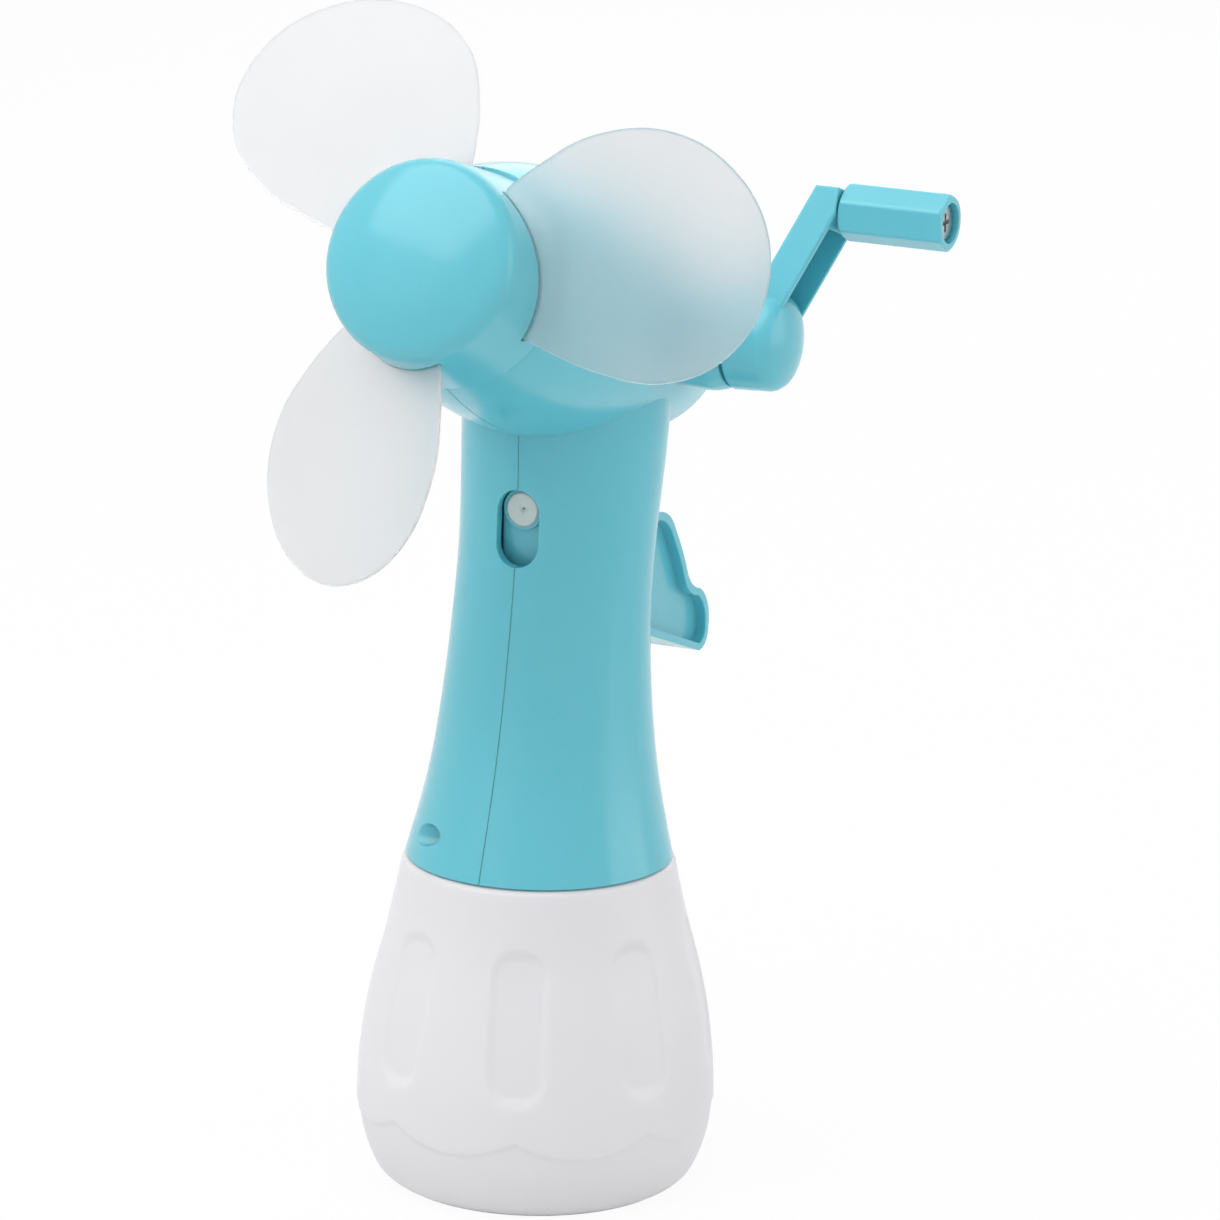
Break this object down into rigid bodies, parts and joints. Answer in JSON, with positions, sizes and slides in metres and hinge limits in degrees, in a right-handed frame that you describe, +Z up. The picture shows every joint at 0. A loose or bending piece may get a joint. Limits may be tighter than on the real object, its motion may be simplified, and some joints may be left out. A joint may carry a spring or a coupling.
{
  "type": "hand crank misting fan",
  "caption": "Hand-held fan on a fluted water bottle: a side crank turns a bladed fan through gears, and a trigger behind the grip works a fine-mist spray pump.",
  "frame": {"origin": "centre of the bottle's flat base", "axes": "+Z up through the bottle and grip, -Y the way the fan blows, +X towards the crank"},
  "size_m": [0.1328, 0.1369, 0.2564],
  "materials": {
    "bottle_plastic": "blown, softly glossy",
    "shell_plastic": "moulded, satin gloss",
    "blade_plastic": "frosted, flexible",
    "white_plastic": "moulded",
    "gear_plastic": "acetal",
    "steel": "zinc plated",
    "bush_brass": "sintered",
    "seal_rubber": "soft",
    "spring_steel": "stainless wire",
    "tube_plastic": "clear"
  },
  "bodies": {
    "bottle": {"bottle": "bottle_plastic"},
    "seal": {"bottle_gasket": "seal_rubber"},
    "handle": {"left_shell": "shell_plastic", "right_shell": "shell_plastic", "shell_screws": "steel", "closure_cap": "white_plastic", "pump_cylinder": "white_plastic", "pump_collar": "white_plastic", "inlet_ball": "steel", "dip_tube": "tube_plastic", "pump_spring": "spring_steel", "front_bush": "bush_brass", "rear_bush": "bush_brass", "idler_pin": "steel", "crank_bush": "bush_brass", "trigger_pin": "steel"},
    "fan": {"fan_hub": "white_plastic", "hub_cap": "shell_plastic", "right_blade": "blade_plastic", "upper_blade": "blade_plastic", "lower_blade": "blade_plastic", "fan_shaft": "steel", "fan_pinion": "bush_brass", "shaft_collar": "steel", "fan_washer": "steel"},
    "idler": {"compound_gear": "gear_plastic"},
    "crank": {"crank_arm": "shell_plastic", "crank_shaft": "steel", "drive_gear": "gear_plastic", "crank_washer": "steel", "knob_screw": "steel"},
    "knob": {"crank_knob": "shell_plastic"},
    "trigger": {"trigger": "shell_plastic"},
    "actuator": {"spray_actuator": "shell_plastic", "nozzle_insert": "white_plastic", "pump_stem": "white_plastic", "pump_piston": "white_plastic"}
  },
  "joints": [
    {"name": "bottle_unscrew", "type": "hinge", "parent": "seal", "child": "handle", "pos_m": [0, 0, 0.08], "axis": [0, 0, 1], "range_deg": [0, 540]},
    {"name": "seal_lift", "type": "slide", "parent": "bottle", "child": "seal", "axis": [0, 0, 1], "range_m": [0, 0.00526]},
    {"name": "crank_spin", "type": "hinge", "parent": "handle", "child": "crank", "pos_m": [0, 0.01868, 0.18509], "axis": [1, 0, 0], "continuous": true},
    {"name": "idler_spin", "type": "hinge", "parent": "handle", "child": "idler", "pos_m": [0, -0.00288, 0.18948], "axis": [1, 0, 0], "continuous": true},
    {"name": "fan_spin", "type": "hinge", "parent": "handle", "child": "fan", "pos_m": [0, -0.0408, 0.2048], "axis": [0, -0.9272, 0.3746], "continuous": true},
    {"name": "knob_spin", "type": "hinge", "parent": "crank", "child": "knob", "pos_m": [0.055, 0.0286, 0.2125], "axis": [1, 0, 0], "continuous": true},
    {"name": "trigger_pull", "type": "hinge", "parent": "handle", "child": "trigger", "pos_m": [0, -0.0055, 0.161], "axis": [-1, 0, 0], "range_deg": [0, 15], "stiffness_Nm_per_rad": 0.5, "springref_deg": -2.86},
    {"name": "actuator_press", "type": "slide", "parent": "handle", "child": "actuator", "axis": [0, 0, -1], "range_m": [0, 0.00464], "deforming": ["pump_spring"]}
  ],
  "couplings": [
    {"joint": "seal_lift", "follows": "bottle_unscrew", "m_per_rad": 0.000557},
    {"joint": "idler_spin", "follows": "crank_spin", "ratio": -2.6667},
    {"joint": "fan_spin", "follows": "crank_spin", "ratio": -6.9333},
    {"joint": "actuator_press", "follows": "trigger_pull", "m_per_rad": 0.0176}
  ]
}
